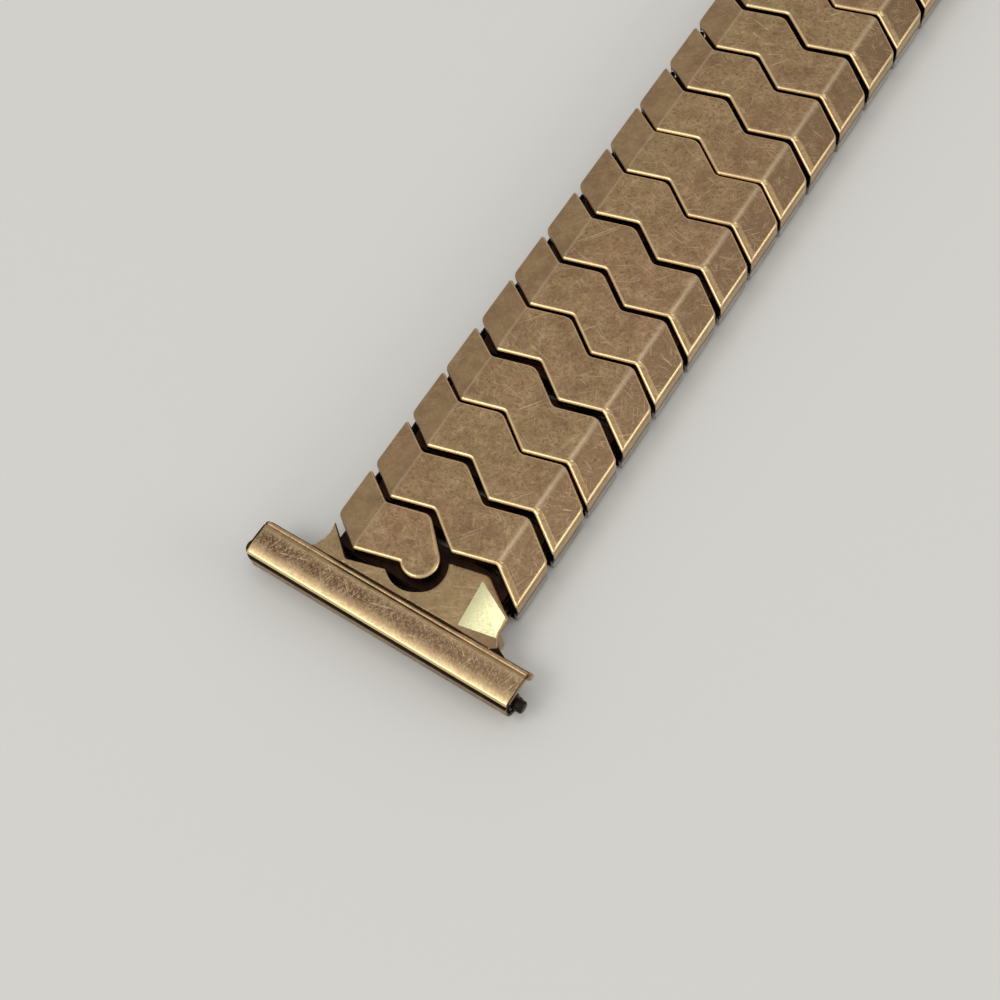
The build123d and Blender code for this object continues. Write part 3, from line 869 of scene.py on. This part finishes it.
SLOTS = (
    # Worn gold of the shell tops, with painted shade on their side facets and a painted highlight
    # along each ridge
    gold("worn gold with painted facet shade", (0.48, 0.335, 0.17), (0.47, 0.29, 0.16), facets=True),
    # Bright near rims of the shells: a polished finish, with a painted highlight in its colour
    gold("polished rim with painted highlight", (0.88, 0.68, 0.38), (0.78, 0.56, 0.31),
         rough=0.25, wear=0.2, patina=0.1, relief=0.12),
    # Near-black painted shade for the shells' walls in the gaps, the seams, the grooves and the
    # hollows, with painted highlight lines
    painted_gap_shade("gap painted shade", (0.012, 0.008, 0.006), (0.03, 0.014, 0.009),
             ((2.33, 0.1, 0.8, TAN_LAYER_HIGHLIGHT), (2.0, 0.05, 0.7, TAN_LAYER_HIGHLIGHT))),
    # Near-black painted shade for the sleeves, leaves, tabs and inner faces of the flanges under
    # the shells, with painted highlight lines
    painted_gap_shade("sleeve steel in painted shade", (0.014, 0.009, 0.007), (0.035, 0.017, 0.011),
             ((1.7, 0.06, 0.7, PALE_LAYER_HIGHLIGHT), (1.1, 0.06, 0.5, TAN_LAYER_HIGHLIGHT))),
    # Painted shade: the flanges turn near black at their tops, under the shells' side walls
    steel("flange steel", (0.60, 0.57, 0.52), (0.36, 0.27, 0.18), 0.3, 0.6, 0.95),
    # Pale painted highlight on the end plate's flat facet
    gold("facet painted highlight", (0.82, 0.82, 0.46), (0.82, 0.79, 0.48), (0.95, 0.93, 0.70),
         rough=0.2, wear=0.25, patina=0.05, relief=0.15),
    gold("side gold", (0.74, 0.56, 0.33), (0.64, 0.44, 0.26), rough=0.33, wear=0.5, patina=0.6),
    gold("olive gold", (0.50, 0.355, 0.185), (0.48, 0.32, 0.17), rough=0.3, wear=0.8, patina=0.7),
    mottled("mottled gold"),
    # Painted highlight on the lug sleeve's rounded front lip
    gold("front edge painted highlight", (0.88, 0.70, 0.38), (0.84, 0.64, 0.34), (0.97, 0.86, 0.58),
         rough=0.25, wear=0.4, patina=0.15, relief=0.4),
    # Painted highlight along the shells' far rims
    gold("far rim painted highlight", (0.74, 0.52, 0.30), (0.66, 0.45, 0.26), wear=0.3, patina=0.3, relief=0.4),
    # Painted shade on the lug sleeve's front wall and its closed end
    gold("front wall in painted shade", (0.40, 0.27, 0.13), (0.33, 0.21, 0.105), wear=0.5, patina=0.9),
    # Near-black painted shade for the spring bar, tucked in the lug sleeve
    steel("bar steel in painted shade", (0.03, 0.023, 0.019), (0.02, 0.012, 0.009), 0.3, 0.5),
    # Painted shade on the shells' rims that face up or to the left, on the band below the end
    # plate's facet and on the bar channel's floor
    gold("shaded rim", (0.41, 0.275, 0.15), (0.38, 0.25, 0.14),
         rough=0.3, wear=0.4, patina=0.4, relief=0.5),
)


def put(bm, node, body):
    """Finish a piece that stands for one CAD node: metres, smooth faces and sharp edges."""
    bmesh.ops.scale(bm, vec=(MM, MM, MM), verts=bm.verts)
    bmesh.ops.recalc_face_normals(bm, faces=bm.faces)
    for face in bm.faces:
        face.smooth = True
    name = node + "_look"
    mesh = bpy.data.meshes.new(name)
    bm.to_mesh(mesh)
    bm.free()
    piece = bpy.data.objects.new(name, mesh)
    bpy.context.collection.objects.link(piece)
    for material in SLOTS:
        mesh.materials.append(material)
    mesh.set_sharp_from_angle(angle=math.radians(sharp_degrees))
    normals = piece.modifiers.new("flat faces", "WEIGHTED_NORMAL")
    normals.keep_sharp = True
    normals.weight = 100
    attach(piece, body)
    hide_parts(node)


# Places of the upper links along the band, from the left far corners of their shells. The last
# link is turned half round, and lies as far from the middle as the first one.
ys = []
for k in range(1, link_count):
    _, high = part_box(f"upper_link_{k:02d}")
    ys.append(high[1] / MM - far_edge[0][1])
ys.append(-ys[0])

full = shell_mesh(shell_corners(), (-1, 1))
lobed = shell_mesh(lobed_corners(), (-1,))
for k, y in enumerate(ys, 1):
    bm = bmesh.new()
    shell = lobed if k in (1, link_count) else full
    join_into(bm, shell, (0, y, 0), 180 if k == link_count else 0, keep=True)
    join_into(bm, tube_mesh(upper_sleeve, SHADED_SLEEVE_STEEL), (0, y, 0))
    join_into(bm, leaf_mesh(upper_sleeve), (0, y, 0))
    join_into(bm, saddle_mesh(), (0, y, 0))
    put(bm, f"upper_link_{k:02d}", f"upper_{k:02d}")
full.free()
lobed.free()

for k, (y_before, y_after) in enumerate(zip(ys, ys[1:]), 1):
    y = (y_before + y_after) / 2
    bm = bmesh.new()
    join_into(bm, tube_mesh(lower_sleeve, FLANGE_STEEL), (0, y, 0))
    join_into(bm, leaf_mesh(lower_sleeve), (0, y, 0))
    for side in (-1, 1):
        join_into(bm, flange_mesh(side, lower_sleeve[2]), (0, y, 0))
        join_into(bm, staple_mesh(side, y - lower_leg, y_before + slide_leg))
        join_into(bm, staple_mesh(side, y + lower_leg, y_after + pivot_leg))
    put(bm, f"lower_link_{k:02d}", f"lower_{k:02d}")

half_pitch = (ys[-1] - ys[0]) / (link_count - 1) / 2
for end, way, y, high_leg in (("near", 1, ys[0], pivot_leg), ("far", -1, ys[-1], slide_leg)):
    body = "end_" + end
    place, turn = (0, y, 0), 0 if way == 1 else 180
    for node, made, slot in (("end_plate", plate_mesh(), "gold_filled"),
                             ("lug_sleeve", cover_mesh(), "gold_filled"),
                             ("spring_bar_barrel", barrel_mesh(), "bar_steel")):
        bm = bmesh.new()
        join_into(bm, made, place, turn)
        put(bm, f"{node}_{end}", body)
    for side, word in ((-1, "left"), (1, "right")):
        bm = bmesh.new()
        join_into(bm, tip_mesh(side), place, turn)
        put(bm, f"spring_bar_tip_{word}_{end}", f"tip_{word}_{end}")
    bm = bmesh.new()
    join_into(bm, tube_mesh(anchor_sleeve, FLANGE_STEEL), (0, y - way * anchor_setback, 0))
    for side in (-1, 1):
        join_into(bm, staple_mesh(side, y - way * (half_pitch - lower_leg), y + high_leg))
    put(bm, "anchor_link_" + end, body)

# Table
table = bpy.data.materials.new("pale table")
table.use_nodes = True
shader = table.node_tree.nodes["Principled BSDF"]
shader.inputs["Base Color"].default_value = (0.80, 0.80, 0.79, 1)
shader.inputs["Roughness"].default_value = 0.55
bpy.ops.mesh.primitive_plane_add(size=3.0, location=(0, 0, 0))
floor = bpy.context.object
floor.name = "table"
floor.data.materials.append(table)

# Camera at the photograph's viewpoint, with its focal length as a share of the frame's width
camera_place = Vector((36.3627, -68.9336, 95.376)) * MM
camera_view = Vector((-0.33371, 0.2931, -0.89595)).normalized()
camera_up = Vector((-0.45396, 0.783, 0.42523))
focal_share = 1.73685
lens = bpy.data.cameras.new("camera")
lens.sensor_width = 36.0
lens.lens = lens.sensor_width * focal_share
lens.clip_start = 0.001
camera = bpy.data.objects.new("camera", lens)
bpy.context.collection.objects.link(camera)
right = camera_view.cross(camera_up).normalized()
up = right.cross(camera_view).normalized()
turned = Matrix((right, up, -camera_view)).transposed().to_4x4()
camera.matrix_world = Matrix.Translation(camera_place) @ turned
bpy.context.scene.camera = camera

lamp_aim = Vector((0, -25, 1)) * MM


def lamp(name, direction, distance, size, watts, colour):
    """Soft box that looks at the near half of the band."""
    light = bpy.data.lights.new(name, "AREA")
    light.shape = "RECTANGLE"
    light.size, light.size_y = size
    light.energy = watts
    light.color = colour
    holder = bpy.data.objects.new(name, light)
    bpy.context.collection.objects.link(holder)
    way = Vector(direction).normalized()
    holder.location = lamp_aim + way * distance
    holder.rotation_euler = way.to_track_quat("Z", "Y").to_euler()


lamp("front soft", (-0.33, -0.48, 0.81), 0.9, (0.55, 0.38), 1.5, (1.0, 0.98, 0.94))
lamp("overhead", (0.09, 0.22, 0.97), 0.9, (0.27, 0.27), 0.29, (1.0, 0.98, 0.93))
lamp("right low", (0.87, 0.29, 0.31), 0.8, (0.5, 0.2), 1.0, (1.0, 0.97, 0.9))

world = bpy.data.worlds.new("studio")
bpy.context.scene.world = world
world.use_nodes = True
background = world.node_tree.nodes["Background"]
background.inputs["Color"].default_value = (0.62, 0.61, 0.59, 1)
background.inputs["Strength"].default_value = 0.94
bpy.context.scene.view_settings.view_transform = "Standard"


def corners(box):
    """A box as plain lists."""
    return [[float(c) for c in corner] for corner in box]
